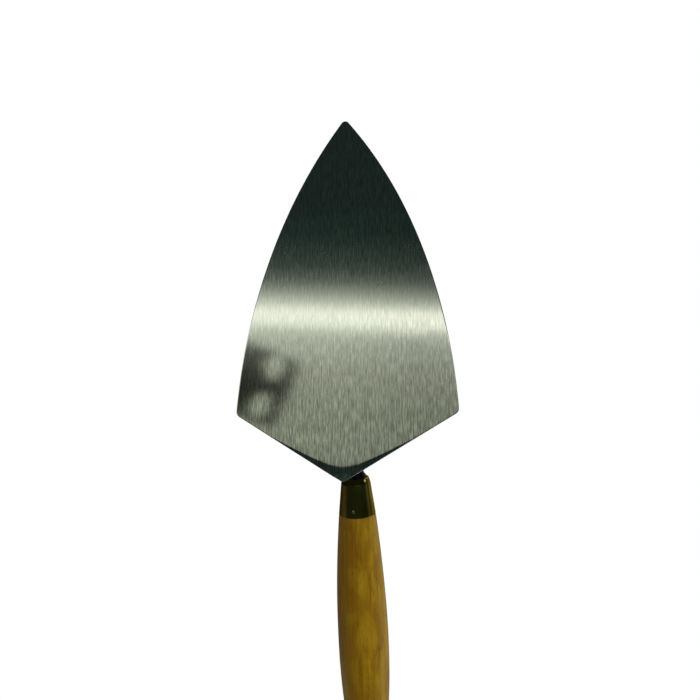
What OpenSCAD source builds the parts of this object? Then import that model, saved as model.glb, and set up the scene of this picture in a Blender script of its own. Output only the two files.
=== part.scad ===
// Brick trowel of the Philadelphia pattern, in millimetres.
// The blade lies flat with its working face down at z = 0. The origin is the middle of that face,
// +X runs to the tip and +Z up to the handle. The object is symmetrical about the plane y = 0.

/* [Blade] */
// Length of the blade, from its heel to its tip
blade_l = 228.6; // [203:0.1:280]
// Width of the blade across its shoulders
blade_w = 133.4; // [115:0.1:150]
// How far the shoulders lie ahead of the heel
shoulder_run = 38.9; // [30:0.1:48]
// Thickness of the blade at its heel
heel_t = 2.3; // [2:0.1:3]
// Thickness of the blade at its tip
tip_t = 1.2; // [0.8:0.1:1.8]
// Angle between the two sides where they meet at the tip
tip_angle = 73.3; // [66:0.1:88]
// Angle at which each side still spreads where it reaches its shoulder
side_spread = 2.8; // [0:0.1:6]
// Radius of the worn tip
tip_r = 2.8; // [1.5:0.1:5]
// Radius of each shoulder
shoulder_r = 3.8; // [1:0.1:5]
// Radius of the heel
heel_r = 2.5; // [1:0.1:4]

/* [Heel bevels] */
// Angle at which the underside rises along each heel edge
edge_bevel = 10; // [4:1:15]
// Width of that bevel at the shoulder
edge_bevel_w0 = 1; // [0.5:0.1:2]
// Width of that bevel at the heel, as it would be without the nose bevel
edge_bevel_w1 = 3.4; // [2:0.1:5]
// Angle at which the underside rises towards the heel
nose_bevel = 6; // [3:1:8]
// Length of that rise
nose_bevel_l = 8; // [6:0.1:12]

/* [Shank] */
// Diameter of the neck
neck_d = 10.6; // [9:0.1:12]
// Radius of the bend, on the neck's centre line
bend_r = 18; // [12:0.5:18]
// Diameter of the shoulder that seats in the ferrule
bolster_d = 15; // [13:0.1:15.1]
// Length over which the neck flares out to that shoulder
flare_l = 3.3; // [3:0.1:9]
// Diameter of the foot under the neck
foot_d = 19; // [15:0.5:22]
// How far the foot's toe reaches ahead of the neck
toe_l = 30; // [20:1:40]
// Width of the weld around the foot
weld_w = 2; // [1:0.1:3]
// Height of the weld on the blade
weld_h = 1.3; // [0.6:0.1:2]
// Width of the square tang where it leaves the shoulder
tang_w0 = 7.4; // [6:0.1:7.6]
// Width of the tang at its end
tang_w1 = 4.6; // [3:0.1:6]
// Length of the tang inside the handle
tang_l = 92; // [60:1:110]

/* [Handle] */
// Height of the ferrule's mouth above the blade's underside
lift = 36; // [33:0.1:46]
// How far the ferrule's mouth lies ahead of the heel
mouth_run = 0.8; // [-4:0.1:4]
// Angle at which the handle rises towards its butt
handle_angle = 14; // [6:0.1:18]
// Length of the handle with its ferrule
handle_l = 150; // [130:1:165]
// Where the handle is thickest, measured from the ferrule's mouth
belly_run = 103; // [90:1:110]
// Diameter of the handle there
belly_d = 32; // [28:0.1:35]
// Diameter of the handle where its rounded butt starts
butt_d = 29; // [24:0.1:30]
// Length of the rounded butt
butt_l = 9; // [5:0.5:14]

/* [Ferrule] */
// Length of the ferrule behind its mouth
ferrule_l = 21.5; // [18:0.5:28]
// Outer diameter that the ferrule's cone has at its mouth
ferrule_d0 = 18.1; // [18:0.1:19.5]
// Outer diameter of the ferrule where it meets the wood
ferrule_d1 = 23.2; // [22:0.1:26]
// Thickness of the ferrule's wall
ferrule_t = 1; // [0.8:0.1:1]
// How far the ferrule's curled lip reaches ahead of its mouth
lip_l = 1.6; // [1:0.1:2.4]
// Diameter of the pin through the ferrule
pin_d = 1.6; // [1.2:0.1:2]
// Distance from the pin to the ferrule's rear edge
pin_run = 4; // [2.5:0.1:6]

/* [Hidden] */
$fn = 64;

// Reaches of the side curve's two handles, as parts of the side's length along X
TIP_REACH = 0.45;
SHOULDER_REACH = 0.23;
ARC_STEPS = 6;
SIDE_STEPS = 28;
PROFILE_STEPS = 24;
// How the shoulder's flare steepens: 1 is a straight cone
FLARE_POWER = 1.1;
// How far a cutter runs past what it cuts
CLEAR = 5;
SLAB = 20;
// The flare starts this far inside the bend, and this much thinner, so that the two are one solid
JOIN_L = 0.6;
JOIN_STEP = 0.1;

tip_x = blade_l / 2;
heel_x = -blade_l / 2;
shoulder_x = heel_x + shoulder_run;
half_w = blade_w / 2;
// Direction of the heel's outward normal, and half the angle at the tip
heel_normal = atan2(shoulder_run, -half_w);
half_tip = tip_angle / 2;
top_slope = atan((heel_t - tip_t) / blade_l);

mouth_x = heel_x + mouth_run;
flare_run = flare_l + lip_l;
// Where the bend ends and the flare starts, and the centre of the bend
bend_end_x = mouth_x + flare_run * cos(handle_angle);
bend_end_z = lift - flare_run * sin(handle_angle);
bend_x = bend_end_x - bend_r * sin(handle_angle);
bend_z = bend_end_z - bend_r * cos(handle_angle);
neck_x = bend_x + bend_r;

neck_r = neck_d / 2;
bolster_r = bolster_d / 2;
foot_h = 3.4;
toe_r = 2.6;
toe_h = 0.7;
// The cone that leads from the foot up into the neck starts this far inside the foot's edge
root_step = 1;
root_h = 9;
// The shoulder stands this far inside the ferrule, with the wood's end against it
seat_l = 2;

bore_r = 5.5;
bore_spare = 6;
bore_end = tang_l + bore_spare;
belly_r = belly_d / 2;
butt_r = butt_d / 2;
butt_run = handle_l - butt_l;
pin_s = ferrule_l - pin_run;
// The lip starts to curl in this far behind the mouth, and takes this much off the radius
curl_s = 2.8;
curl_in = 0.8;
lip_bore_r = bolster_r + 0.1;
// The pin ends short of the bore, and its tapered head starts inside the ferrule's wall
pin_gap = 0.4;
pin_root = bore_r + pin_gap;
pin_head_r = 1.05;
pin_head_taper = 0.3;
pin_head_h = 0.35;
pin_sink = ferrule_t / 4;

function arc(cx, cy, r, from, to) =
    [for (i = [0 : ARC_STEPS])
        let (a = from + (to - from) * i / ARC_STEPS)
        [cx + r * cos(a), cy + r * sin(a)]];

function bezier(p0, p1, p2, p3, t) =
    pow(1 - t, 3) * p0 + 3 * pow(1 - t, 2) * t * p1 + 3 * (1 - t) * t * t * p2 + pow(t, 3) * p3;

// One side of the blade's outline, from the tip round the shoulder to the heel
function half_outline() =
    let (
        tip_end = [tip_x - tip_r + tip_r * sin(half_tip), tip_r * cos(half_tip)],
        turn = heel_normal - 90,
        corner = [shoulder_x + shoulder_r * tan(turn / 2), half_w - shoulder_r],
        side_end = corner + shoulder_r * [sin(side_spread), cos(side_spread)],
        side_l = tip_end[0] - side_end[0],
        pull0 = tip_end + TIP_REACH * side_l * [-cos(half_tip), sin(half_tip)],
        pull1 = side_end + SHOULDER_REACH * side_l * [cos(side_spread), -sin(side_spread)]
    )
    concat(
        arc(tip_x - tip_r, 0, tip_r, 0, 90 - half_tip),
        [for (i = [1 : SIDE_STEPS - 1]) bezier(tip_end, pull0, pull1, side_end, i / SIDE_STEPS)],
        arc(corner[0], corner[1], shoulder_r, 90 - side_spread, heel_normal),
        arc(heel_x + heel_r, 0, heel_r, heel_normal, 180)
    );

module outline() {
    side = half_outline();
    last = len(side) - 1;
    other = [for (i = [last - 1 : -1 : 1]) [side[i][0], -side[i][1]]];
    polygon(concat(side, other));
}

// A slab whose underside is the blade's upper face, which falls from the heel to the tip,
// or whose top is, with sink at the slab's own thickness
module upper_face_slab(sink) {
    translate([heel_x, -blade_w, heel_t])
        rotate([0, top_slope, 0])
            translate([-CLEAR, 0, -sink])
                cube([blade_l + 2 * CLEAR, 2 * blade_w, SLAB]);
}

// Takes the underside up along the heel edge on the +Y side
module edge_bevel_cut() {
    edge_l = norm([shoulder_run, half_w]);
    narrowing = atan((edge_bevel_w1 - edge_bevel_w0) / edge_l);
    translate([heel_x, 0, 0])
        rotate([0, 0, heel_normal - 90])
            translate([0, -edge_bevel_w1, 0])
                rotate([0, 0, -narrowing])
                    rotate([edge_bevel, 0, 0])
                        translate([-edge_l - CLEAR, 0, -CLEAR])
                            cube([edge_l + 3 * CLEAR, 3 * CLEAR, CLEAR]);
}

// Takes the underside up towards the heel
module nose_bevel_cut() {
    translate([heel_x + nose_bevel_l, -blade_w / 2, 0])
        rotate([0, nose_bevel, 0])
            translate([-3 * CLEAR, 0, -CLEAR])
                cube([3 * CLEAR, blade_w, CLEAR]);
}

// Puts its children on the handle's axis: local +Z runs from the ferrule's mouth to the butt,
// and local -X faces down
module on_handle() {
    translate([mouth_x, 0, lift])
        rotate([0, handle_angle - 90, 0])
            children();
}

module blade() {
    color("#8d918c")
        difference() {
            linear_extrude(heel_t) outline();
            upper_face_slab(0);
            edge_bevel_cut();
            mirror([0, 1, 0]) edge_bevel_cut();
            nose_bevel_cut();
        }
}

// The foot's long low body, grown all round by extra and brought down to the height h
module foot_body(extra, h) {
    hull() {
        translate([neck_x, 0, 0])
            cylinder(h = h, r = foot_d / 2 + extra, $fn = 32);
        translate([neck_x + toe_l, 0, 0])
            cylinder(h = min(h, heel_t + toe_h), r = toe_r + extra, $fn = 32);
    }
}

// Tapered square tang, from the shoulder into the handle
module tang() {
    half_diagonal = sqrt(2) / 2;
    translate([0, 0, seat_l])
        rotate([0, 0, 45])
            cylinder(h = tang_l, r1 = tang_w0 * half_diagonal, r2 = tang_w1 * half_diagonal, $fn = 4);
}

// Shoulder behind the bend, turned about the handle's axis
module bolster() {
    start = -flare_run - JOIN_L;
    flare = [for (i = [1 : ARC_STEPS])
        let (t = i / ARC_STEPS)
        [neck_r + (bolster_r - neck_r) * pow(t, FLARE_POWER), flare_l * t - flare_run]];
    rotate_extrude()
        polygon(concat(
            [[0, start], [neck_r - JOIN_STEP, start]],
            flare,
            [[bolster_r, seat_l], [0, seat_l]]
        ));
}

module bend() {
    translate([bend_x, 0, bend_z])
        rotate([90, 0, 0])
            rotate_extrude(angle = 90 - handle_angle)
                translate([bend_r, 0])
                    circle(neck_r);
}

module shank() {
    color("#6f7370")
        difference() {
            union() {
                foot_body(0, heel_t + foot_h);
                translate([neck_x, 0, heel_t + foot_h])
                    cylinder(h = root_h, r1 = foot_d / 2 - root_step, r2 = neck_r);
                translate([neck_x, 0, heel_t])
                    cylinder(h = bend_z - heel_t, r = neck_r);
                bend();
                on_handle() {
                    bolster();
                    tang();
                }
            }
            upper_face_slab(SLAB);
        }
}

module weld_bead() {
    color("#5f625f")
        difference() {
            foot_body(weld_w, heel_t + weld_h);
            foot_body(0, heel_t + foot_h);
            upper_face_slab(SLAB);
        }
}

function ferrule_r(s) = (ferrule_d0 + (ferrule_d1 - ferrule_d0) * s / ferrule_l) / 2;

// The pin lies across the handle's axis, under it, with its head outside
module pin() {
    translate([0, 0, pin_s])
        rotate([0, -90, 0]) {
            translate([0, 0, pin_root])
                cylinder(h = ferrule_r(pin_s) - pin_root, d = pin_d);
            translate([0, 0, ferrule_r(pin_s) - pin_sink])
                cylinder(h = pin_head_h + pin_sink, r1 = pin_head_r, r2 = pin_head_r - pin_head_taper);
        }
}

module ferrule() {
    lip = [for (i = [0 : ARC_STEPS])
        let (
            t = i / ARC_STEPS,
            s = curl_s * t - lip_l * (1 - t)
        )
        [ferrule_r(s) - curl_in * pow(1 - t, 2), s]];
    color("#7a6a24")
        on_handle()
            difference() {
                rotate_extrude()
                    polygon(concat(
                        [[lip_bore_r, seat_l], [lip_bore_r, -lip_l]],
                        lip,
                        [
                            [ferrule_r(ferrule_l), ferrule_l],
                            [ferrule_r(ferrule_l) - ferrule_t, ferrule_l],
                            [ferrule_r(seat_l) - ferrule_t, seat_l]
                        ]
                    ));
                pin();
            }
}

module ferrule_pin() {
    color("#b0a264")
        on_handle() pin();
}

// Radius of the wood behind the ferrule: it swells to the belly and eases in to the butt
function wood_r(s) =
    s < belly_run
    ? belly_r - (belly_r - ferrule_r(ferrule_l)) * pow((belly_run - s) / (belly_run - ferrule_l), 2)
    : belly_r - (belly_r - butt_r) * pow((s - belly_run) / (butt_run - belly_run), 2);

module bore() {
    translate([0, 0, seat_l])
        cylinder(h = bore_end - seat_l, r = bore_r);
}

module handle() {
    swell = [for (i = [0 : PROFILE_STEPS])
        let (s = ferrule_l + (butt_run - ferrule_l) * i / PROFILE_STEPS)
        [wood_r(s), s]];
    butt = [for (i = [1 : ARC_STEPS * 2])
        let (a = 90 * i / (ARC_STEPS * 2))
        [butt_r * cos(a), butt_run + butt_l * sin(a)]];
    tenon = [
        [0, seat_l],
        [ferrule_r(seat_l) - ferrule_t, seat_l],
        [ferrule_r(ferrule_l) - ferrule_t, ferrule_l]
    ];
    color("#a9812f")
        on_handle()
            difference() {
                rotate_extrude()
                    polygon(concat(tenon, swell, butt));
                bore();
                pin();
            }
}

// Resin that beds the tang in the handle's bore
module tang_bedding() {
    color("#3b2f22")
        on_handle()
            difference() {
                bore();
                tang();
            }
}

blade();
shank();
weld_bead();
ferrule();
ferrule_pin();
handle();
tang_bedding();
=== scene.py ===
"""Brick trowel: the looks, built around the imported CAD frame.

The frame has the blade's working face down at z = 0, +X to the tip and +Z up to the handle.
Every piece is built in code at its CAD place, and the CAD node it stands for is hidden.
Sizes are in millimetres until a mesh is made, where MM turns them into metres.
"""
import math

import bmesh
import bpy
from mathutils import Matrix, Vector, noise


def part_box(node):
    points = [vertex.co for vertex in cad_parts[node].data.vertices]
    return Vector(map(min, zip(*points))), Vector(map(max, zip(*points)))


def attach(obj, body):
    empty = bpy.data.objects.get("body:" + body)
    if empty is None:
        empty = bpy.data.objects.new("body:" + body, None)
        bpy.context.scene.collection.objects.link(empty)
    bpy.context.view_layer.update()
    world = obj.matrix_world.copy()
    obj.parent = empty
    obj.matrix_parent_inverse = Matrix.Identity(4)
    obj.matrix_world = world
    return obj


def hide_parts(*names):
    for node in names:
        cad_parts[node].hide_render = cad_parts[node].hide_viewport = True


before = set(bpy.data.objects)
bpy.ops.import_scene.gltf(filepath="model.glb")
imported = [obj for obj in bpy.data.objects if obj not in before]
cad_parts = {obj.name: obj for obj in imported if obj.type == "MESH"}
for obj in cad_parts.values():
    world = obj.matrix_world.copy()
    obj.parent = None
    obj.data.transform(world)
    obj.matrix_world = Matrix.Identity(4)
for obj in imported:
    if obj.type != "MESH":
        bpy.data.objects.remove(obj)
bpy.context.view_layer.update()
MM = 0.001

# ---- Sizes from the frame ---------------------------------------------------------------------
BLADE_LO, BLADE_HI = (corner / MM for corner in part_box("blade"))
HEEL_X = BLADE_LO.x
TIP_X = BLADE_HI.x
HALF_W = BLADE_HI.y
HEEL_T = BLADE_HI.z
BLADE_L = TIP_X - HEEL_X

# ---- The blade's own sizes --------------------------------------------------------------------
SHOULDER_RUN = 38.9
SHOULDER_X = HEEL_X + SHOULDER_RUN
TIP_T = 1.2
HALF_TIP = math.radians(73.3 / 2)
SIDE_SPREAD = math.radians(2.8)
TIP_R = 2.8
SHOULDER_R = 3.8
HEEL_R = 2.5
# The side is one cubic curve: how far its two pulls reach, as shares of its length
TIP_REACH = 0.45
SHOULDER_REACH = 0.23
EDGE_R = 0.3
# The bevel along each heel edge: its slope, its width at the nose, and how far out it has run off
EDGE_BEVEL = math.tan(math.radians(10))
EDGE_BEVEL_W = 3.3
EDGE_BEVEL_RUN = 46.0
BEVEL_BLEND = 0.45
RAGGED = 0.6
NOSE_BEVEL = math.tan(math.radians(6))
NOSE_BEVEL_L = 8.0
NOSE_FACET = math.tan(math.radians(20))
NOSE_FACET_L = 4.8
# Half the width over which the nose's bevel turns into the edges', and how round its facet's front is
NOSE_HALF_W = 12.0
FACET_LENS = 14.0
# The straight spine that the inner rings of the blade's faces close in on, from heel and tip
SPINE_FROM_HEEL = 30.0
SPINE_FROM_TIP = 20.0
CORNER_STEPS = 10
SIDE_STEPS = 90
HEEL_STEPS = 110
# How far each ring of the blade's faces lies inside the outline
BLADE_INSETS = (
    0, 0.03, 0.08, 0.16, 0.3, 0.6, 1, 1.4, 1.8, 2.2, 2.6, 3, 3.4, 3.8, 4.3,
    5, 6, 7, 8, 9, 10, 11, 12, 14,
)

# ---- The handle and ferrule -------------------------------------------------------------------
HANDLE_ANGLE = math.radians(14)
MOUTH = Vector((HEEL_X + 0.8, 0.0, 36.0))
AXIS = Vector((-math.cos(HANDLE_ANGLE), 0.0, math.sin(HANDLE_ANGLE)))
# Local +Z runs along the axis to the butt, local +X points up, and local +Y is the row's +Y
HANDLE_TURN = HANDLE_ANGLE - math.pi / 2
ON_HANDLE = Matrix.Translation(MOUTH) @ Matrix.Rotation(HANDLE_TURN, 4, "Y")
# A name that ends in S is a distance along the axis from the ferrule's mouth
HANDLE_L = 150.0
BELLY_S = 103.0
BELLY_R = 16.0
BUTT_R = 14.5
BUTT_L = 9.0
BORE_R = 5.5
FERRULE_L = 21.5
FERRULE_R0 = 9.05
FERRULE_R1 = 11.6
FERRULE_T = 1.0
LIP_L = 1.6
LIP_BORE_R = 7.6
CURL_S = 2.8
CURL_IN = 0.8
CURL_STEPS = 16
CONE_STEPS = 24
PIN_S = FERRULE_L - 4.0
PIN_HEAD_R = 1.0
PIN_R = 0.8
PIN_DOME_H = 0.36
PIN_SINK = 0.02
SEAT_L = 2.0
WOOD_STEPS = 60
BUTT_STEPS = 17
# A lathe profile that reaches the axis stops this far from it
ON_AXIS = 0.001

# ---- The shank --------------------------------------------------------------------------------
NECK_R = 5.3
BEND_R = 18.0
BOLSTER_R = 7.5
FLARE_L = 3.3
FOOT_R = 9.5
TOE_RUN = 30.0
TOE_R = 2.6
FOOT_EDGE_H = 0.8
FOOT_EDGE_R = 0.4
FOOT_CREST = 2.6
FOOT_STEPS = 30
FILLET_RUN = 8.0
ROOT_H = 12.0
NECK_STEPS = 8
BEND_STEPS = 24
FLARE_STEPS = 10
FLARE_POWER = 0.65
TANG_L = 92.0
TANG_HALF = 3.7
TANG_END_HALF = 2.4
TANG_POINT_HALF = 1.5
TANG_POINT_L = 3.0
BORE_END = TANG_L + 6.0
# The bend ends where the flare starts, ahead of the ferrule's lip, and the neck stands below it
FLARE_S = FLARE_L + LIP_L
BEND_END = MOUTH - AXIS * FLARE_S
BEND_CENTRE = BEND_END - Vector((math.sin(HANDLE_ANGLE), 0, math.cos(HANDLE_ANGLE))) * BEND_R
NECK_X = BEND_CENTRE.x + BEND_R
# Directions round the shank in half a turn, and how much they crowd towards the foot's toe
HALF_TURN_STEPS = 48
TOE_CROWDING = 1.7

# ---- The weld bead ----------------------------------------------------------------------------
BEAD_REACH = 1.7
BEAD_H = 1.15
BEAD_SINK = 0.25
BEAD_SIDES = 9
BEAD_LAP = 340
RIPPLE_H = 0.10
RIPPLE_PITCH = 1.5


# ---- Mesh helpers -----------------------------------------------------------------------------
def add_object(name, mesh):
    """Puts a mesh in the scene as an object at the origin."""
    piece = bpy.data.objects.new(name, mesh)
    bpy.context.scene.collection.objects.link(piece)
    return piece


def skin(name, rings, place=Matrix.Identity(4), caps=True, weld=1e-7):
    """A closed skin over rings of points in millimetres, put in place, with a face at each end."""
    count = len(rings[0])
    bm = bmesh.new()
    rows = [[bm.verts.new(place @ Vector(p) * MM) for p in ring] for ring in rings]
    for low, high in zip(rows, rows[1:]):
        for i in range(count):
            j = (i + 1) % count
            bm.faces.new((low[i], low[j], high[j], high[i]))
    if caps:
        bm.faces.new(rows[0][::-1])
        bm.faces.new(rows[-1])
    bmesh.ops.remove_doubles(bm, verts=bm.verts, dist=weld)
    bmesh.ops.dissolve_degenerate(bm, edges=bm.edges, dist=weld)
    bmesh.ops.recalc_face_normals(bm, faces=bm.faces)
    for face in bm.faces:
        face.smooth = True
    mesh = bpy.data.meshes.new(name)
    bm.to_mesh(mesh)
    bm.free()
    return add_object(name, mesh)


def lathe(name, profile, place, segments=128, wobble=None, caps=True):
    """Turns a list of (radius, height) about local Z. wobble(angle, height) adds to the radius."""
    rings = []
    for radius, height in profile:
        ring = []
        for k in range(segments):
            angle = 2 * math.pi * k / segments
            r = radius + (wobble(angle, height) if wobble else 0.0)
            ring.append((r * math.cos(angle), r * math.sin(angle), height))
        rings.append(ring)
    return skin(name, rings, place, caps)


def arc(cx, cy, r, start, end, steps):
    """Points on a round stretch of an outline, both ends included."""
    angles = [start + (end - start) * k / steps for k in range(steps + 1)]
    return [(cx + r * math.cos(a), cy + r * math.sin(a)) for a in angles]


def ease(t):
    """Runs from 0 to 1 with t, level at both ends."""
    t = min(max(t, 0.0), 1.0)
    return t * t * (3 - 2 * t)


def soft_ramp(t, blend):
    """0 below 0 and t above it, rounded within blend of the corner."""
    if t <= -blend:
        return 0.0
    if t >= blend:
        return t
    return (t + blend) ** 2 / (4 * blend)


# ---- Blade ------------------------------------------------------------------------------------
def half_outline():
    """The blade's outline on the +Y side, from the tip round the shoulder to the heel."""
    tip_end = Vector((TIP_X - TIP_R + TIP_R * math.sin(HALF_TIP), TIP_R * math.cos(HALF_TIP)))
    heel_normal = math.atan2(SHOULDER_RUN, -HALF_W)
    side_normal = math.pi / 2 - SIDE_SPREAD
    corner_x = SHOULDER_X + SHOULDER_R * math.tan((heel_normal - math.pi / 2) / 2)
    corner = Vector((corner_x, HALF_W - SHOULDER_R))
    side_end = corner + Vector((math.cos(side_normal), math.sin(side_normal))) * SHOULDER_R
    side_l = tip_end.x - side_end.x
    pull0 = tip_end + Vector((-math.cos(HALF_TIP), math.sin(HALF_TIP))) * TIP_REACH * side_l
    pull1 = side_end + Vector((math.sin(side_normal), -math.cos(side_normal))) * SHOULDER_REACH * side_l

    points = arc(TIP_X - TIP_R, 0, TIP_R, 0, math.pi / 2 - HALF_TIP, CORNER_STEPS)
    for k in range(1, SIDE_STEPS):
        t = k / SIDE_STEPS
        p = (
            tip_end * (1 - t) ** 3
            + pull0 * 3 * (1 - t) ** 2 * t
            + pull1 * 3 * (1 - t) * t * t
            + side_end * t ** 3
        )
        points.append((p.x, p.y))
    points += arc(corner.x, corner.y, SHOULDER_R, side_normal, heel_normal, CORNER_STEPS)
    shoulder_end = Vector(points[-1])
    heel_arc = arc(HEEL_X + HEEL_R, 0, HEEL_R, heel_normal, math.pi, CORNER_STEPS)
    heel_start = Vector(heel_arc[0])
    for k in range(1, HEEL_STEPS):
        p = shoulder_end.lerp(heel_start, k / HEEL_STEPS)
        points.append((p.x, p.y))
    return points + heel_arc


def closed_outline():
    """The outline all round: the +Y side and its mirror image."""
    side = half_outline()
    return side + [(x, -y) for x, y in side[-2:0:-1]]


def underside_z(x, y, inset):
    """Height of the working face: flat, and rising along the heel edges in one rounded V."""
    edge_l = math.hypot(SHOULDER_RUN, HALF_W)
    # the V's point is rounded so that the rise starts NOSE_BEVEL_L ahead of the heel
    rounding = (NOSE_BEVEL_L * HALF_W - EDGE_BEVEL_W * edge_l) / SHOULDER_RUN
    across = math.hypot(y, rounding * (1 - ease(abs(y) / HALF_W)))
    from_heel_edge = ((x - HEEL_X) * HALF_W - across * SHOULDER_RUN) / edge_l
    width = EDGE_BEVEL_W * max(1 - abs(y) / EDGE_BEVEL_RUN, 0.02)
    # the grinding leaves the bevel's start a little ragged
    ragged = RAGGED * noise.noise((x * 0.12, y * 1.1, 0)) * width / EDGE_BEVEL_W
    slope = NOSE_BEVEL + (EDGE_BEVEL - NOSE_BEVEL) * ease(abs(y) / NOSE_HALF_W)
    blend = BEVEL_BLEND * width
    rise = slope * soft_ramp(width - 0.6 * blend + ragged - from_heel_edge, blend)
    # the heel's own point is dressed off in a small lens-shaped facet
    facet = NOSE_FACET * soft_ramp(NOSE_FACET_L - (x - HEEL_X) - y * y / FACET_LENS, 0.4)
    return rise + facet + edge_rounding(inset)


def edge_rounding(inset):
    """How far a face draws back close to the outline, so that the edge is rounded."""
    if inset >= EDGE_R:
        return 0.0
    return EDGE_R - math.sqrt(EDGE_R ** 2 - (EDGE_R - inset) ** 2)


def upper_z(x):
    """Height of the upper face, which falls a little from heel to tip."""
    return HEEL_T - (HEEL_T - TIP_T) * (x - HEEL_X) / BLADE_L


def build_blade():
    """Two faces of rings that close in from the outline to a straight spine, with a rounded edge."""
    outline = closed_outline()
    count = len(outline)
    spine_share = (BLADE_L - SPINE_FROM_HEEL - SPINE_FROM_TIP) / BLADE_L
    rays = []
    for i, (x, y) in enumerate(outline):
        before = Vector(outline[i - 1])
        after = Vector(outline[(i + 1) % count])
        along = (after - before).normalized()
        inward = Vector((-along.y, along.x))
        spine = Vector((HEEL_X + SPINE_FROM_HEEL + (x - HEEL_X) * spine_share, 0))
        ray = (spine - Vector((x, y))).normalized()
        # a ray that runs nearly along the edge goes no more than about 3 times further
        rays.append((Vector((x, y)), ray, max(ray.dot(inward), 0.3), spine))
    under = []
    upper = []
    for inset in BLADE_INSETS:
        places = [p + ray * inset / lean for p, ray, lean, spine in rays]
        under.append([(q.x, q.y, underside_z(q.x, q.y, inset)) for q in places])
        upper.append([(q.x, q.y, upper_z(q.x) - edge_rounding(inset)) for q in places])
    far = BLADE_INSETS[-1]
    under.append([(spine.x, 0, underside_z(spine.x, 0, far)) for p, ray, lean, spine in rays])
    upper.append([(spine.x, 0, upper_z(spine.x)) for p, ray, lean, spine in rays])
    piece = skin("blade_forged", under[::-1] + upper, caps=False)
    lay_brush_map(piece)
    return piece


def lay_brush_map(piece):
    """A map whose U runs across the blade, so that the tangent lies across the brushed lines."""
    mesh = piece.data
    layer = mesh.uv_layers.new(name="brush")
    for loop in mesh.loops:
        co = mesh.vertices[loop.vertex_index].co
        layer.data[loop.index].uv = (0.5 + co.y * 3, 0.5 + co.x * 3)


# ---- Shank ------------------------------------------------------------------------------------
def foot_reach(angle):
    """How far the foot's edge lies from the neck's centre: a drop with its point towards angle 0."""
    a = abs(math.atan2(math.sin(angle), math.cos(angle)))
    lean = math.acos((FOOT_R - TOE_R) / TOE_RUN)
    toe_a = math.atan2(TOE_R * math.sin(lean), TOE_RUN + TOE_R * math.cos(lean))
    if a > lean:
        return FOOT_R
    if a > toe_a:
        return FOOT_R / math.cos(a - lean)
    return TOE_RUN * math.cos(a) + math.sqrt(TOE_R ** 2 - (TOE_RUN * math.sin(a)) ** 2)


def shank_angles():
    """Directions round the neck, closer together towards the narrow toe."""
    steps = range(HALF_TURN_STEPS + 1)
    half = [math.pi * (k / HALF_TURN_STEPS) ** TOE_CROWDING for k in steps]
    return half + [-a for a in half[-2:0:-1]]


def foot_rings(angles):
    """The foot, from its eased edge on the blade up to the root of the neck."""
    rings = []
    # up the edge: the share of its height, and how far the foot has drawn in there
    for share, drawn_in in ((0.0, 0.0), (0.35, 0.0), (0.7, 0.3 * FOOT_EDGE_R), (1.0, FOOT_EDGE_R)):
        ring = []
        for a in angles:
            r = foot_reach(a) - drawn_in
            x = NECK_X + r * math.cos(a)
            ring.append((x, r * math.sin(a), upper_z(x) + FOOT_EDGE_H * share))
        rings.append(ring)
    for k in range(1, FOOT_STEPS + 1):
        ring = []
        for a in angles:
            reach = foot_reach(a) - FOOT_EDGE_R
            r = reach + (NECK_R - reach) * math.sin(math.pi / 2 * k / FOOT_STEPS)
            x = NECK_X + r * math.cos(a)
            ring.append((x, r * math.sin(a), upper_z(x) + FOOT_EDGE_H + foot_rise(a, r, reach)))
        rings.append(ring)
    return rings


def foot_rise(angle, r, reach):
    """Height above the foot's edge: a rounded pad that falls to the toe, and a fillet up to the neck."""
    ahead = max(r * math.cos(angle), 0) / (TOE_RUN + TOE_R)
    pad = FOOT_CREST * (1 - 0.8 * ahead) * math.sqrt(1 - min(r / reach, 1) ** 3)
    up = min(max(1 - (r - NECK_R) / FILLET_RUN, 0), 1)
    return pad + (ROOT_H - FOOT_CREST) * (1 - math.sqrt(1 - up * up))


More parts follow.
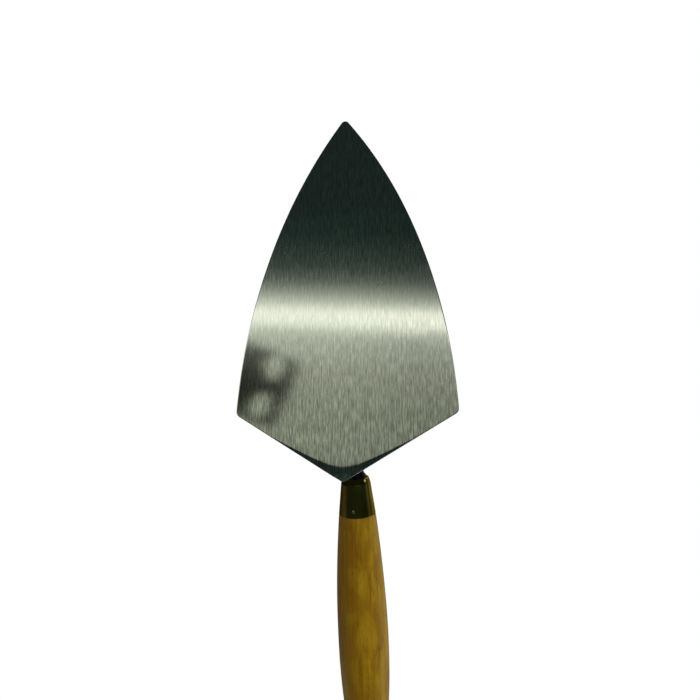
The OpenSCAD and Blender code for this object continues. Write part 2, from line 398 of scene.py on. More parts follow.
def neck_rings(angles):
    """The straight neck, the bend, the flared shoulder and the square tang, as one run of sections."""
    # each section: its centre, the way along, its radius or half width, and whether it is square
    sections = []
    root_z = HEEL_T + FOOT_EDGE_H + ROOT_H
    for k in range(1, NECK_STEPS + 1):
        z = root_z + (BEND_CENTRE.z - root_z) * k / NECK_STEPS
        sections.append((Vector((NECK_X, 0, z)), Vector((0, 0, 1)), NECK_R, False))
    turn = math.pi / 2 - HANDLE_ANGLE
    for k in range(1, BEND_STEPS + 1):
        a = turn * k / BEND_STEPS
        centre = BEND_CENTRE + Vector((math.cos(a), 0, math.sin(a))) * BEND_R
        sections.append((centre, Vector((-math.sin(a), 0, math.cos(a))), NECK_R, False))
    rim_r = BOLSTER_R - 0.15
    for k in range(1, FLARE_STEPS + 1):
        t = k / FLARE_STEPS
        r = NECK_R + (rim_r - NECK_R) * (1 - math.cos(t * math.pi / 2)) ** FLARE_POWER
        sections.append((MOUTH + AXIS * (FLARE_L * t - FLARE_S), AXIS, r, False))
    # the shoulder's rim is eased, and its straight part runs inside the ferrule's lip to its seat
    for s, r in ((-LIP_L + 0.08, BOLSTER_R - 0.05), (-LIP_L + 0.25, BOLSTER_R), (SEAT_L, BOLSTER_R)):
        sections.append((MOUTH + AXIS * s, AXIS, r, False))
    tang_end = SEAT_L + TANG_L
    for s, half in (
        (SEAT_L + 0.01, TANG_HALF),
        (tang_end - TANG_POINT_L, TANG_END_HALF),
        (tang_end, TANG_POINT_HALF),
    ):
        sections.append((MOUTH + AXIS * s, AXIS, half, True))

    rings = []
    for centre, along, size, square in sections:
        out = Vector((0, 1, 0)).cross(along)
        ring = []
        for a in angles:
            r = size
            if square:
                r = size / max(abs(math.cos(a)), abs(math.sin(a)))
            # a = 0 faces the tip at the neck, and the top at the tang
            ring.append(centre + out * r * math.cos(a) + Vector((0, r * math.sin(a), 0)))
        rings.append(ring)
    return rings


def build_shank():
    """Foot, neck, bend, shoulder and tang as one closed skin."""
    angles = shank_angles()
    return skin("shank_forged", foot_rings(angles) + neck_rings(angles))


def foot_edge(angle):
    """The point of the foot's edge in a direction from the neck's centre."""
    return Vector((math.cos(angle), math.sin(angle))) * foot_reach(angle)


def build_weld():
    """A rippled bead that runs round the foot's edge."""
    rings = []
    for k in range(BEAD_LAP):
        # the sections crowd together towards the toe, which is at 0
        side = 2 * k / BEAD_LAP - 1
        a = math.copysign(math.pi * abs(side) ** 1.5, side)
        p = foot_edge(a)
        along = (foot_edge(a + 0.001) - p).normalized()
        out = Vector((along.y, -along.x))
        way = foot_reach(a) * a + p.x * 0.4
        ripple = RIPPLE_H * abs(math.sin(way * math.pi / RIPPLE_PITCH))
        ripple += 0.07 * noise.noise((p.x * 0.35, p.y * 0.35, 0))
        ring = []
        for s in range(BEAD_SIDES):
            tilt = math.pi / 2 * s / (BEAD_SIDES - 1)
            run = (BEAD_REACH + ripple) * math.sin(tilt) - BEAD_SINK
            rise = (BEAD_H + ripple) * math.cos(tilt)
            x = NECK_X + p.x + out.x * run
            ring.append((x, p.y + out.y * run, upper_z(x) + rise - 0.02))
        inner = p - out * 0.8
        ring.append((NECK_X + inner.x, inner.y, upper_z(NECK_X + inner.x) + 0.02))
        rings.append(ring)
    rings.append(rings[0])
    return skin("weld_rippled", rings, caps=False, weld=2e-6)


# ---- Ferrule, pin, handle and bedding ---------------------------------------------------------
def ferrule_r(s):
    """Radius of the ferrule's cone at s behind its mouth."""
    return FERRULE_R0 + (FERRULE_R1 - FERRULE_R0) * s / FERRULE_L


def build_ferrule():
    """A drawn cone whose lip curls in to the shank's shoulder, slightly eased at its rear edge."""
    rear_r = ferrule_r(FERRULE_L)
    lip_r = ferrule_r(-LIP_L) - CURL_IN
    # inside, from the rear: the cone over the wood, the step at its seat, and the bore of the lip
    profile = [
        (rear_r - FERRULE_T, FERRULE_L - 0.05),
        (ferrule_r(SEAT_L) - FERRULE_T, SEAT_L + 0.05),
        (LIP_BORE_R, SEAT_L + 0.02),
        (LIP_BORE_R, 0.12 - LIP_L),
        (LIP_BORE_R + 0.05, 0.03 - LIP_L),
        ((LIP_BORE_R + lip_r) / 2, 0.005 - LIP_L),
        (lip_r - 0.03, 0.05 - LIP_L),
    ]
    # outside: the curl, the cone, and its eased rear edge
    for k in range(2, CURL_STEPS + 1):
        t = k / CURL_STEPS
        s = CURL_S * t - LIP_L * (1 - t)
        profile.append((ferrule_r(s) - CURL_IN * (1 - t) ** 2, s))
    for k in range(1, CONE_STEPS + 1):
        s = CURL_S + (FERRULE_L - CURL_S - 0.3) * k / CONE_STEPS
        profile.append((ferrule_r(s), s))
    profile += [(rear_r - 0.05, FERRULE_L - 0.12), (rear_r - 0.18, FERRULE_L - 0.01)]
    return lathe("ferrule_drawn", profile + [profile[0]], ON_HANDLE, caps=False)


def build_pin():
    """A small nail whose domed head lies on the ferrule's underside."""
    lie = ferrule_r(PIN_S)
    base = lie - PIN_SINK
    point_r = ON_AXIS / 10
    profile = [(point_r, base + PIN_DOME_H)]
    for k in range(1, 9):
        a = math.pi / 2 * k / 8
        profile.append((PIN_HEAD_R * math.sin(a), base + PIN_DOME_H * math.cos(a) ** 0.8))
    profile += [(PIN_HEAD_R, lie - 0.2), (PIN_R, lie - 0.25), (PIN_R, BORE_R + 1.2)]
    profile.append((point_r, BORE_R + 0.4))
    turn = Matrix.Translation((0, 0, PIN_S)) @ Matrix.Rotation(-math.pi / 2, 4, "Y")
    return lathe("ferrule_nail", profile, ON_HANDLE @ turn, segments=32)


def wood_r(s):
    """Radius of the wood at s: it swells from the ferrule to the belly and eases in to the butt."""
    if s < BELLY_S:
        swell = 1 - ((BELLY_S - s) / (BELLY_S - FERRULE_L)) ** 2
        return FERRULE_R1 + (BELLY_R - FERRULE_R1) * swell
    fall = ((s - BELLY_S) / (HANDLE_L - BUTT_L - BELLY_S)) ** 2
    return BELLY_R - (BELLY_R - BUTT_R) * fall


def build_handle():
    """The turned wood, with its tenon and bore in front and the lathe's mark in its butt."""

    def hand_turned(angle, s):
        """A slight unevenness that fades out towards the ferrule."""
        if s < FERRULE_L + 1:
            return 0.0
        slow = noise.noise((math.cos(angle) * 0.6, math.sin(angle) * 0.6, s * 0.03))
        return 0.10 * (slow - 0.5) * ease((s - FERRULE_L) / 20)

    # the bore, the tenon just inside the ferrule, and the eased step up behind the ferrule
    profile = [
        (BORE_R, BORE_END),
        (BORE_R, SEAT_L),
        (ferrule_r(SEAT_L) - FERRULE_T - 0.02, SEAT_L),
        (ferrule_r(FERRULE_L) - FERRULE_T - 0.02, FERRULE_L),
        (FERRULE_R1 - 0.16, FERRULE_L + 0.01),
        (FERRULE_R1 - 0.04, FERRULE_L + 0.1),
    ]
    side_start = FERRULE_L + 0.2
    side_end = HANDLE_L - BUTT_L
    for k in range(1, WOOD_STEPS + 1):
        s = side_start + (side_end - side_start) * k / WOOD_STEPS
        profile.append((wood_r(s) - 0.01, s))
    for k in range(1, BUTT_STEPS):
        a = math.pi / 2 * k / BUTT_STEPS
        profile.append((BUTT_R * math.cos(a), side_end + BUTT_L * math.sin(a)))
    # the lathe's centre mark, as radius and depth
    for r, depth in ((1.5, 0.06), (1.2, 0.2), (0.5, 0.75), (ON_AXIS, 0.85)):
        profile.append((r, HANDLE_L - depth))
    profile.append((ON_AXIS, BORE_END + 0.5))
    return lathe("handle_turned", profile, ON_HANDLE, segments=160, wobble=hand_turned)


def build_bedding():
    """The resin between the bore and the tang, with a meniscus at the mouth."""
    side_r = BORE_R - 0.03
    profile = [(ON_AXIS, BORE_END - 0.02), (BORE_R - 0.9, BORE_END - 0.05), (side_r, BORE_END - 1.4)]
    profile += [(side_r, s) for s in (70, 45, 20, SEAT_L + 0.4)]
    profile += [(BORE_R - 0.4, SEAT_L + 0.05), (TANG_HALF + 0.1, SEAT_L + 0.3), (ON_AXIS, SEAT_L + 0.35)]
    return lathe("tang_resin", profile, ON_HANDLE, segments=48)


# ---- Materials --------------------------------------------------------------------------------
class Nodes:
    """Short ways to lay out a node tree: a new material's, or a world's."""

    def __init__(self, name, world=None):
        self.material = world or bpy.data.materials.new(name)
        self.material.use_nodes = True
        self.tree = self.material.node_tree
        self.bsdf = self.tree.nodes.get("Principled BSDF")

    def node(self, kind, **settings):
        made = self.tree.nodes.new(kind)
        for key, value in settings.items():
            setattr(made, key, value)
        return made

    def link(self, source, target):
        self.tree.links.new(source, target)

    def set(self, **values):
        for key, value in values.items():
            self.bsdf.inputs[key.replace("_", " ")].default_value = value

    def place(self, scale=(1, 1, 1), rotation=(0, 0, 0), location=(0, 0, 0), on_handle=False):
        """The row's coordinates, or the handle's with Z along its axis, scaled, turned and shifted."""
        source = self.node("ShaderNodeTexCoord").outputs["Object"]
        if on_handle:
            local = self.node("ShaderNodeMapping", vector_type="TEXTURE")
            local.inputs["Location"].default_value = MOUTH * MM
            local.inputs["Rotation"].default_value = (0, HANDLE_TURN, 0)
            self.link(source, local.inputs["Vector"])
            source = local.outputs["Vector"]
        mapping = self.node("ShaderNodeMapping")
        mapping.inputs["Scale"].default_value = scale
        mapping.inputs["Rotation"].default_value = rotation
        mapping.inputs["Location"].default_value = location
        self.link(source, mapping.inputs["Vector"])
        return mapping.outputs["Vector"]

    def axes(self, vector):
        """The X, Y and Z of a vector, under those names."""
        made = self.node("ShaderNodeSeparateXYZ")
        self.link(vector, made.inputs["Vector"])
        return made.outputs

    def near(self, vector, point):
        """How far a vector is from a point."""
        made = self.node("ShaderNodeVectorMath", operation="DISTANCE")
        self.link(vector, made.inputs[0])
        made.inputs[1].default_value = point
        return made.outputs["Value"]

    def noise(self, vector, detail=2.0, roughness=0.5, distortion=0.0):
        made = self.node("ShaderNodeTexNoise")
        made.inputs["Scale"].default_value = 1.0
        made.inputs["Detail"].default_value = detail
        made.inputs["Roughness"].default_value = roughness
        made.inputs["Distortion"].default_value = distortion
        self.link(vector, made.inputs["Vector"])
        return made.outputs["Fac"]

    def ramp(self, value, *stops):
        """A run of colours or greys, each at its own place between 0 and 1."""
        made = self.node("ShaderNodeValToRGB")
        elements = made.color_ramp.elements
        while len(elements) < len(stops):
            elements.new(0.5)
        for element, (at, colour) in zip(elements, stops):
            element.position = at
            element.color = (*colour, 1) if isinstance(colour, tuple) else (colour, colour, colour, 1)
        self.link(value, made.inputs["Fac"])
        return made.outputs["Color"]

    def range(self, value, low, high, to_low, to_high):
        """Carries low to to_low and high to to_high, and stays at those ends beyond them."""
        made = self.node("ShaderNodeMapRange")
        ends = {"From Min": low, "From Max": high, "To Min": to_low, "To Max": to_high}
        for key, number in ends.items():
            made.inputs[key].default_value = number
        self.link(value, made.inputs["Value"])
        return made.outputs["Result"]

    def math(self, operation, a, b=0.0):
        made = self.node("ShaderNodeMath", operation=operation)
        for socket, value in zip(made.inputs, (a, b)):
            if isinstance(value, (int, float)):
                socket.default_value = value
            else:
                self.link(value, socket)
        return made.outputs["Value"]

    def colour(self, value):
        """A grey of this value, which may pass 1."""
        made = self.node("ShaderNodeCombineColor")
        for key in ("Red", "Green", "Blue"):
            self.link(value, made.inputs[key])
        return made.outputs["Color"]

    def mix(self, factor, a, b, blend="MIX"):
        made = self.node("ShaderNodeMix", data_type="RGBA", blend_type=blend)
        for key, value in (("Factor", factor), ("A", a), ("B", b)):
            socket = next(s for s in made.inputs if s.name == key and s.enabled)
            if isinstance(value, tuple):
                socket.default_value = (*value, 1)
            elif isinstance(value, (int, float)):
                socket.default_value = value
            else:
                self.link(value, socket)
        return next(s for s in made.outputs if s.name == "Result" and s.enabled)

    def bump(self, height, distance, strength=1.0):
        made = self.node("ShaderNodeBump")
        made.inputs["Distance"].default_value = distance
        made.inputs["Strength"].default_value = strength
        self.link(height, made.inputs["Height"])
        self.link(made.outputs["Normal"], self.bsdf.inputs["Normal"])


def blade_steel():
    """Ground steel: short fine lines from heel to tip that spread reflections across the blade."""
    m = Nodes("blade_steel_ground")
    m.set(Metallic=1.0, Anisotropic=0.35)
    tangent = m.node("ShaderNodeTangent", direction_type="UV_MAP", uv_map="brush")
    m.link(tangent.outputs["Tangent"], m.bsdf.inputs["Tangent"])
    at = m.axes(m.place())
    short = m.noise(m.place((150, 1250, 500)), detail=3, roughness=0.65)
    long = m.noise(m.place((35, 700, 300), location=(2, 5, 1)), detail=2, roughness=0.5)
    cloudy = m.noise(m.place((12, 25, 25)), detail=2)
    lines = m.math("ADD", m.math("MULTIPLY", short, 0.8), m.math("MULTIPLY", long, 0.2))
    # the lines bite least across the middle, deepest at the heel, and less again at the tip
    depth = m.range(at["X"], -0.012, -0.10, 0.45, 2.15)
    depth = m.math("ADD", depth, m.range(at["X"], 0.0, 0.012, 0.0, 1.1))
    depth = m.math("SUBTRACT", depth, m.range(at["X"], 0.030, 0.090, 0.0, 0.5))
    # they show less on the upper face
    face = m.range(at["Z"], 0.0008, 0.0011, 0, 1)
    depth = m.math("MULTIPLY", depth, m.range(face, 0, 1, 1, 0.5))
    bite = m.math("MULTIPLY", m.math("SUBTRACT", lines, 0.5), depth)
    tone = m.ramp(
        m.math("ADD", bite, 0.5),
        (0.30, (0.33, 0.335, 0.32)),
        (0.50, (0.55, 0.555, 0.53)),
        (0.70, (0.82, 0.825, 0.79)),
    )
    tone = m.mix(m.range(cloudy, 0.3, 0.7, 0, 0.15), tone, (0.50, 0.52, 0.49))
    # a few hair-thin curled scratches
    curl = m.noise(m.place((150, 150, 150), location=(1, 2, 0)), detail=0, distortion=1.5)
    hair = m.math("ABSOLUTE", m.math("SUBTRACT", curl, 0.5))
    patch = m.noise(m.place((60, 60, 60), location=(7, 1, 0)), detail=1)
    hair = m.math("MULTIPLY", m.range(hair, 0.004, 0.001, 0, 1), m.range(patch, 0.64, 0.68, 0, 1))
    m.link(m.mix(hair, tone, (0.80, 0.80, 0.78)), m.bsdf.inputs["Base Color"])
    # the upper face is ground more coarsely than the working face
    rough = m.range(face, 0, 1, 0.085, 0.27)
    m.link(m.math("ADD", rough, m.math("MULTIPLY", hair, 0.2)), m.bsdf.inputs["Roughness"])
    m.bump(lines, 0.00001, 0.3)
    return m.material


def shank_steel():
    """Forged and polished steel with faint lines along it, a little forge scale left, and painted shade
    on the shoulder by the ferrule.
    """
    m = Nodes("shank_steel_forged")
    m.set(Metallic=1.0)
    lines = m.noise(m.place((700, 700, 90)), detail=3, roughness=0.6)
    scale = m.noise(m.place((120, 120, 120)), detail=5, roughness=0.65)
    dark = m.ramp(scale, (0.42, 0.0), (0.62, 0.55))
    tone = m.ramp(lines, (0.3, (0.27, 0.28, 0.26)), (0.7, (0.42, 0.42, 0.40)))
    tone = m.mix(dark, tone, (0.15, 0.15, 0.15))
    # the shoulder next to the ferrule is painted near black, as shade in the hollow by the ferrule's
    # mouth
    along = m.math("ADD", m.axes(m.place(on_handle=True))["Z"], m.math("MULTIPLY", scale, 0.002))
    painted_shoulder_shade = m.range(along, -0.0050, -0.0038, 0, 1)
    m.link(m.mix(painted_shoulder_shade, tone, (0.010, 0.010, 0.009)), m.bsdf.inputs["Base Color"])
    m.link(m.range(scale, 0.3, 0.7, 0.26, 0.42), m.bsdf.inputs["Roughness"])
    m.bump(m.math("ADD", lines, m.math("MULTIPLY", scale, 1.5)), 0.00006, 0.5)
    return m.material


def weld_steel():
    """Weld metal with straw and blue heat tint."""
    m = Nodes("weld_steel_tinted")
    m.set(Metallic=1.0)
    patches = m.noise(m.place((150, 150, 150)), detail=4, roughness=0.6)
    tone = m.ramp(
        patches, (0.3, (0.13, 0.14, 0.18)), (0.5, (0.26, 0.23, 0.18)), (0.7, (0.38, 0.37, 0.35))
    )
    m.link(tone, m.bsdf.inputs["Base Color"])
    m.link(m.range(patches, 0.3, 0.7, 0.5, 0.32), m.bsdf.inputs["Roughness"])
    m.bump(m.noise(m.place((900, 900, 900)), detail=3), 0.00008, 0.6)
    return m.material


def ferrule_brass():
    """Drawn brass, polished and lightly tarnished, with fine turning lines round it, painted shade on
    its lip and one painted highlight.
    """
    m = Nodes("ferrule_brass_tarnished")
    m.set(Metallic=1.0, Specular_Tint=(0.75, 0.62, 0.18, 1))
    turning = m.noise(m.place((60, 60, 2600), on_handle=True), detail=2)
    tarnish = m.noise(m.place((90, 90, 60), on_handle=True), detail=5, roughness=0.62)
    spots = m.noise(m.place((420, 420, 420)), detail=2)
    tone = m.ramp(
        tarnish,
        (0.32, (0.30, 0.225, 0.05)),
        (0.50, (0.42, 0.33, 0.09)),
        (0.68, (0.54, 0.44, 0.15)),
    )
    tone = m.mix(m.ramp(spots, (0.66, 0.0), (0.74, 0.6)), tone, (0.14, 0.10, 0.04))
    # a coppery stain runs along one side of the underside
    shifted = m.axes(m.place(location=(0, 0.002, 0), on_handle=True))
    stain = m.range(m.math("ABSOLUTE", shifted["Y"]), 0.004, 0.001, 0, 0.9)
    tone = m.mix(m.math("MULTIPLY", stain, tarnish), tone, (0.34, 0.13, 0.08))
    # the curled lip is painted dark as shade over its reflections, but for its +Y side
    behind = m.math("ADD", shifted["Z"], m.math("MULTIPLY", tarnish, 0.0010))
    lip = m.range(behind, 0.0032, 0.0018, 0, 0.93)
    lip = m.math("MULTIPLY", lip, m.range(shifted["Y"], 0.0100, 0.0080, 0, 1))
    tone = m.mix(lip, tone, (0.020, 0.018, 0.010))
    # one spot is painted pale and not metal, as a painted highlight on the lip
    painted_highlight_spot = m.range(m.near(m.place(on_handle=True), (-0.0050, 0.0070, -0.0005)), 0.0011, 0.0003, 0, 1)
    m.link(m.mix(painted_highlight_spot, tone, (0.95, 0.88, 0.42)), m.bsdf.inputs["Base Color"])
    m.link(m.math("SUBTRACT", 1.0, painted_highlight_spot), m.bsdf.inputs["Metallic"])
    rough = m.math("MAXIMUM", m.range(tarnish, 0.3, 0.7, 0.24, 0.14), m.math("MULTIPLY", lip, 0.6))
    m.link(rough, m.bsdf.inputs["Roughness"])
    m.bump(turning, 0.00001, 0.4)
    return m.material


def pin_brass():
    """Brass filed bright, with the file's scratches."""
    m = Nodes("pin_brass_filed")
    m.set(Metallic=1.0)
    scratches = m.noise(m.place((900, 400, 3000), on_handle=True), detail=3)
    tone = m.ramp(scratches, (0.3, (0.42, 0.36, 0.20)), (0.7, (0.74, 0.66, 0.40)))
    m.link(tone, m.bsdf.inputs["Base Color"])
    m.link(m.range(scratches, 0.3, 0.7, 0.3, 0.5), m.bsdf.inputs["Roughness"])
    m.bump(scratches, 0.00003, 0.6)
    return m.material


def handle_wood():
    """Varnished hardwood: growth rings off a pith outside the blank, a darker side that is partly
    heartwood and partly painted shade, and flecks.
    """
    m = Nodes("handle_wood_varnished")
    m.set(Coat_Weight=0.05, Coat_Roughness=0.3, Specular_IOR_Level=0.22)
    rings = m.node("ShaderNodeTexWave", wave_type="RINGS", rings_direction="Z", wave_profile="SAW")
    rings.inputs["Scale"].default_value = 105
    rings.inputs["Distortion"].default_value = 9.0
    rings.inputs["Detail"].default_value = 3.0
    rings.inputs["Detail Scale"].default_value = 0.5
    tilt = (math.radians(3), math.radians(-4), 0)
    m.link(m.place((1, 1, 0.20), tilt, (0.012, 0.034, 0), on_handle=True), rings.inputs["Vector"])
    growth = rings.outputs["Fac"]
    fibre = m.noise(m.place((1500, 1500, 38), on_handle=True), detail=3, roughness=0.6)
    cloud = m.noise(m.place((55, 55, 14), on_handle=True), detail=3, roughness=0.55, distortion=0.6)
    leaning = m.place((75, 75, 21), (0.9, 0, 0), (0.3, 0.1, 0), on_handle=True)
    figure = m.noise(leaning, detail=2, distortion=1.2)
    turned = m.place((115, 115, 48), (0, 0, 0.4), (0.05, 0.02, 0), on_handle=True)
    mottle = m.noise(turned, detail=3, distortion=0.8)
    pale = m.ramp(
        growth,
        (0.0, (0.44, 0.30, 0.030)),
        (0.7, (0.42, 0.26, 0.020)),
        (1.0, (0.37, 0.21, 0.016)),
    )
    dark = m.ramp(
        growth,
        (0.0, (0.25, 0.135, 0.012)),
        (0.7, (0.225, 0.117, 0.009)),
        (1.0, (0.195, 0.092, 0.007)),
    )
    # the darker side is towards -Y, partly heartwood and partly painted shade, and its edge wanders with
    # the figure
    across = m.axes(m.place(on_handle=True))["Y"]
    heartwood_and_painted_shade = m.math("ADD", across, m.range(figure, 0.25, 0.75, -0.009, 0.009))
    heartwood_and_painted_shade = m.range(heartwood_and_painted_shade, 0.0065, -0.0025, 0.0, 1.0)
    tone = m.mix(heartwood_and_painted_shade, pale, dark)
    # blotches: golden where the grain dips, pinkish brown where it rises
    golden = m.math("MULTIPLY", m.range(mottle, 0.50, 0.68, 0.0, 0.75), m.range(heartwood_and_painted_shade, 0, 1, 1, 0.3))
    tone = m.mix(golden, tone, (0.50, 0.335, 0.045))
    tone = m.mix(m.range(mottle, 0.46, 0.34, 0.0, 0.65), tone, (0.27, 0.125, 0.022))
    tone = m.mix(m.range(cloud, 0.35, 0.7, 0.0, 0.2), tone, (0.50, 0.34, 0.04))
    tone = m.mix(m.range(fibre, 0.35, 0.75, 0.0, 0.16), tone, (0.20, 0.10, 0.012))
    flecks = m.noise(m.place((900, 900, 230), location=(3, 5, 1), on_handle=True), detail=2)
    tone = m.mix(m.ramp(flecks, (0.64, 0.0), (0.74, 0.7)), tone, (0.11, 0.055, 0.012))
    m.link(tone, m.bsdf.inputs["Base Color"])
    m.link(m.range(fibre, 0.3, 0.7, 0.42, 0.55), m.bsdf.inputs["Roughness"])
    m.bump(m.math("ADD", fibre, m.math("MULTIPLY", growth, 0.4)), 0.00004, 0.5)
    return m.material


def bedding_resin():
    """Dark matt resin with a fine speckle."""
    m = Nodes("bedding_resin_dark")
    speckle = m.noise(m.place((400, 400, 400)), detail=4)
    tone = m.ramp(speckle, (0.3, (0.05, 0.035, 0.02)), (0.7, (0.11, 0.08, 0.05)))
    m.link(tone, m.bsdf.inputs["Base Color"])
    m.link(m.range(speckle, 0.3, 0.7, 0.45, 0.7), m.bsdf.inputs["Roughness"])
    m.bump(speckle, 0.0001, 0.5)
    return m.material


# ---- Pieces on the frame ----------------------------------------------------------------------
PIECES = (
    ("blade", "blade_steel", build_blade, blade_steel),
    ("shank", "shank_steel", build_shank, shank_steel),
    ("weld_bead", "weld_steel", build_weld, weld_steel),
    ("ferrule", "ferrule_brass", build_ferrule, ferrule_brass),
    ("ferrule_pin", "pin_brass", build_pin, pin_brass),
    ("handle", "handle_wood", build_handle, handle_wood),
    ("tang_bedding", "bedding_resin", build_bedding, bedding_resin),
)

for node, slot, build, paint in PIECES:
    piece = build()
    piece.data.materials.append(paint())
    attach(piece, "root")
    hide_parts(node)


# ---- Camera -----------------------------------------------------------------------------------
def aim(obj, place, target, up=(0, 0, 1)):
    """Puts obj at place, in metres, looking at target, with up at the top of its view."""
    back = (Vector(place) - Vector(target)).normalized()
    right = Vector(up).cross(back).normalized()
    turn = Matrix((right, back.cross(right), back)).transposed()
    obj.matrix_world = Matrix.Translation(place) @ turn.to_4x4()


# Below the heel and to one side, looking up at the working face, tip at the top
CAMERA_AT = (-0.1053, 0.0779, -0.3205)
CAMERA_TARGET = (-0.0378, 0.0042, 0)
CAMERA_UP = (1, -0.005, 0)
CAMERA_LENS = 29.04
camera = bpy.data.objects.new("camera", bpy.data.cameras.new("camera"))
bpy.context.scene.collection.objects.link(camera)
camera.data.lens = CAMERA_LENS
camera.data.clip_start = 0.01
camera.data.clip_end = 50
aim(camera, CAMERA_AT, CAMERA_TARGET, CAMERA_UP)
bpy.context.scene.camera = camera


# ---- Studio -----------------------------------------------------------------------------------
def emission(name, strength, colour=None):
    """A light card's material. Returns it with its emission node."""
    m = Nodes(name)
    m.tree.nodes.remove(m.bsdf)
    glow = m.node("ShaderNodeEmission")
    glow.inputs["Strength"].default_value = strength
    if colour:
        glow.inputs["Color"].default_value = (*colour, 1)
    m.link(glow.outputs["Emission"], m.tree.nodes["Material Output"].inputs["Surface"])
    return m, glow


def plane(name, low, high, z):
    """A level rectangle between two corners, facing up."""
    mesh = bpy.data.meshes.new(name)
    (x0, y0), (x1, y1) = low, high
    mesh.from_pydata([(x0, y0, z), (x1, y0, z), (x1, y1, z), (x0, y1, z)], [], [(0, 1, 2, 3)])
    return add_object(name, mesh)


def build_card():
    """A graded card under the trowel for the working face to mirror: grey, a bright strip, then dark."""
    low, high = -0.14, 0.34
    card = plane("under_card", (low, -1.0), (high, 0.6), -0.6)
    m, glow = emission("under_card_light", 1.0)
    at = m.axes(m.place())
    # the strip lies a little askew
    skewed = m.math("ADD", at["X"], m.math("MULTIPLY", at["Y"], 0.09))
    along = m.range(skewed, low, high, 0, 1)
    # place on the card in metres, and the light there
    stops = (
        (-0.140, (0.012, 0.021, 0.018)),
        (-0.118, (0.31, 0.335, 0.26)),
        (-0.030, (0.365, 0.40, 0.305)),
        (0.030, (0.44, 0.47, 0.37)),
        (0.090, (0.63, 0.68, 0.555)),
        (0.106, (0.78, 0.84, 0.70)),
        (0.122, (1.42, 1.46, 1.26)),
        (0.142, (1.50, 1.53, 1.32)),
        (0.1565, (0.86, 0.92, 0.77)),
        (0.1725, (0.50, 0.54, 0.44)),
        (0.196, (0.160, 0.182, 0.152)),
        (0.227, (0.055, 0.078, 0.066)),
        (0.286, (0.020, 0.037, 0.031)),
    )
    shade = m.ramp(along, *(((x - low) / (high - low), colour) for x, colour in stops))
    side = m.ramp(m.range(at["Y"], -0.32, 0.05, 0, 1), (0.0, 1.1), (0.5, 1.03), (0.85, 0.83))
    # the strip is as bright at one end as at the other
    strip = m.math("MULTIPLY", m.range(skewed, 0.104, 0.120, 0, 1), m.range(skewed, 0.166, 0.150, 0, 1))
    side = m.mix(strip, side, (1.05, 1.05, 1.05))
    # something dark with two gaps in it stands near the card's left end, a little turned
    turned = m.axes(m.place(rotation=(0, 0, math.radians(-20.1))))
    ragged = m.noise(m.place((22, 22, 22), location=(0.2, 0.1, 0)), detail=1)

    def away(x, y, half_x, half_y):
        """How far off a place on the card is along and across it, where 1 is half_x and half_y."""
        off_x = m.math("DIVIDE", m.math("SUBTRACT", turned["X"], x), half_x)
        off_y = m.math("DIVIDE", m.math("SUBTRACT", turned["Y"], y), half_y)
        return m.math("ABSOLUTE", off_x), m.math("ABSOLUTE", off_y)

    edge = m.math("MAXIMUM", *away(-0.072, -0.301, 0.062, 0.0668))
    edge = m.math("ADD", edge, m.math("MULTIPLY", ragged, 0.25))
    deep = m.range(turned["X"], -0.082, -0.022, 0.045, 0.15)
    shadow = m.math("MAXIMUM", m.range(edge, 1.0, 1.25, 0, 1), deep)
    for x, half_x in ((-0.0320, 0.026), (-0.1043, 0.025)):
        off_x, off_y = away(x, -0.2745, half_x, 0.018)
        squares = m.math("ADD", m.math("MULTIPLY", off_x, off_x), m.math("MULTIPLY", off_y, off_y))
        gap = m.range(m.math("ADD", squares, ragged), 0.8, 1.9, 1.25, 0.0)
        shadow = m.math("MAXIMUM", shadow, gap)
    shade = m.mix(1.0, shade, side, "MULTIPLY")
    m.link(m.mix(1.0, shade, m.colour(shadow), "MULTIPLY"), glow.inputs["Color"])
    card.data.materials.append(m.material)
    card.visible_camera = False


def build_floor():
    """A pale floor that shows from above only, so that the working face can be seen from below."""
    just_below = -0.0002
    floor = plane("floor", (-40, -40), (40, 40), just_below)
    m = Nodes("floor_pale")
    m.set(Base_Color=(0.80, 0.80, 0.80, 1), Roughness=0.9, Specular_IOR_Level=0.0)
    clear = m.node("ShaderNodeBsdfTransparent")
    side = m.node("ShaderNodeNewGeometry")
    pick = m.node("ShaderNodeMixShader")
    m.link(side.outputs["Backfacing"], pick.inputs["Fac"])
    m.link(m.bsdf.outputs["BSDF"], pick.inputs[1])
    m.link(clear.outputs["BSDF"], pick.inputs[2])
    m.link(pick.outputs["Shader"], m.tree.nodes["Material Output"].inputs["Surface"])
    floor.data.materials.append(m.material)
    for ray in ("visible_glossy", "visible_diffuse", "visible_transmission", "visible_shadow"):
        setattr(floor, ray, False)


def build_under_lights():
    """Low warm light for the wood seen from below. It has no glossy share, so no metal mirrors it."""
    for name, place, power in (
        ("under_right", (-0.35, 0.45, -0.45), 2.2),
        ("under_left", (-0.35, -0.45, -0.15), 0.45),
    ):
        light = bpy.data.lights.new(name, "AREA")
        light.shape = "DISK"
        light.size = 0.25
        light.energy = power
        light.color = (1.0, 0.86, 0.30)
        lamp = bpy.data.objects.new(name, light)
        bpy.context.scene.collection.objects.link(lamp)
        aim(lamp, place, (-0.19, 0, 0.05), (0, 1, 0))
        lamp.visible_camera = False
        lamp.visible_glossy = False


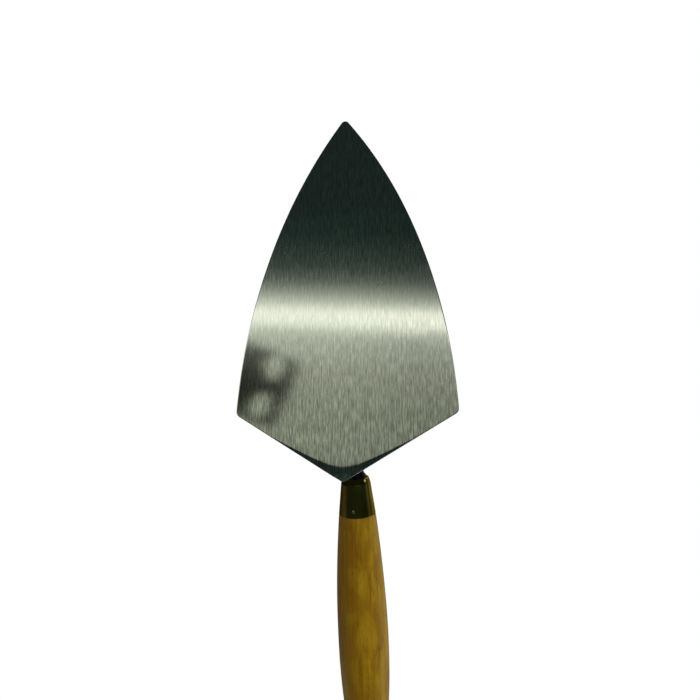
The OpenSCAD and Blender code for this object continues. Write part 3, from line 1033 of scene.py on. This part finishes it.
def build_world():
    """White behind the object, an even sky for plain light, and a dim room with light ends to mirror."""
    world = bpy.data.worlds.new("studio")
    bpy.context.scene.world = world
    m = Nodes("studio", world)
    around = m.tree.nodes["Background"]
    behind = m.node("ShaderNodeBackground")
    way = m.node("ShaderNodeTexCoord").outputs["Generated"]
    towards = m.axes(way)
    height = m.range(towards["Z"], -1, 1, 0, 1)
    below = (0.018, 0.030, 0.026)
    sky = m.ramp(
        height,
        (0.47, below),
        (0.56, (0.12, 0.125, 0.11)),
        (0.76, (1.25, 1.25, 1.24)),
        (0.90, (1.1, 1.1, 1.1)),
    )
    # the room's sides and ceiling are dark, with a dim strip along each side, and its ends are light
    left = m.ramp(
        height,
        (0.27, below),
        (0.31, (0.070, 0.072, 0.045)),
        (0.60, (0.085, 0.085, 0.060)),
        (0.66, (0.030, 0.032, 0.028)),
        (0.90, (0.040, 0.042, 0.036)),
        (0.97, (0.22, 0.22, 0.20)),
    )
    right = m.ramp(
        height,
        (0.47, below),
        (0.50, (0.030, 0.032, 0.028)),
        (0.53, (0.13, 0.14, 0.10)),
        (0.60, (0.13, 0.14, 0.10)),
        (0.66, (0.050, 0.050, 0.042)),
        (0.75, (0.055, 0.055, 0.046)),
        (0.82, (0.24, 0.24, 0.22)),
    )
    sides = m.mix(m.range(towards["Y"], -0.35, 0.1, 0, 1), left, right)
    ends = m.ramp(
        height,
        (0.47, below),
        (0.53, (0.15, 0.155, 0.15)),
        (0.66, (0.42, 0.425, 0.42)),
        (0.78, (1.0, 1.0, 0.99)),
        (0.86, (1.0, 1.0, 0.99)),
        (0.95, (0.24, 0.24, 0.22)),
    )
    endwise = m.range(m.math("ABSOLUTE", towards["X"]), 0.38, 0.62, 0, 1)
    room = m.mix(endwise, sides, ends)
    # a faint glow behind the handle, below the horizon
    rearwards = m.range(towards["X"], -0.42, -0.55, 0, 1)
    glow = m.math("MULTIPLY", rearwards, m.range(height, 0.47, 0.40, 0, 1))
    room = m.mix(glow, room, (0.035, 0.056, 0.046))
    # one broad soft box to the right
    facing = m.node("ShaderNodeVectorMath", operation="DOT_PRODUCT")
    m.link(way, facing.inputs[0])
    facing.inputs[1].default_value = Vector((0.75, -0.45, 0.48)).normalized()
    box = m.math("MULTIPLY", m.range(facing.outputs["Value"], 0.84, 0.97, 0, 1), 0.5)
    room = m.mix(1.0, room, m.colour(box), "ADD")
    path = m.node("ShaderNodeLightPath")
    m.link(m.mix(path.outputs["Is Diffuse Ray"], room, sky), around.inputs["Color"])
    m.link(m.ramp(height, (0.5, (0.80, 0.80, 0.80)), (0.62, (1, 1, 1))), behind.inputs["Color"])
    pick = m.node("ShaderNodeMixShader")
    m.link(path.outputs["Is Camera Ray"], pick.inputs["Fac"])
    m.link(around.outputs["Background"], pick.inputs[1])
    m.link(behind.outputs["Background"], pick.inputs[2])
    m.link(pick.outputs["Shader"], m.tree.nodes["World Output"].inputs["Surface"])


build_card()
build_floor()
build_under_lights()
build_world()
bpy.context.scene.view_settings.view_transform = "Standard"
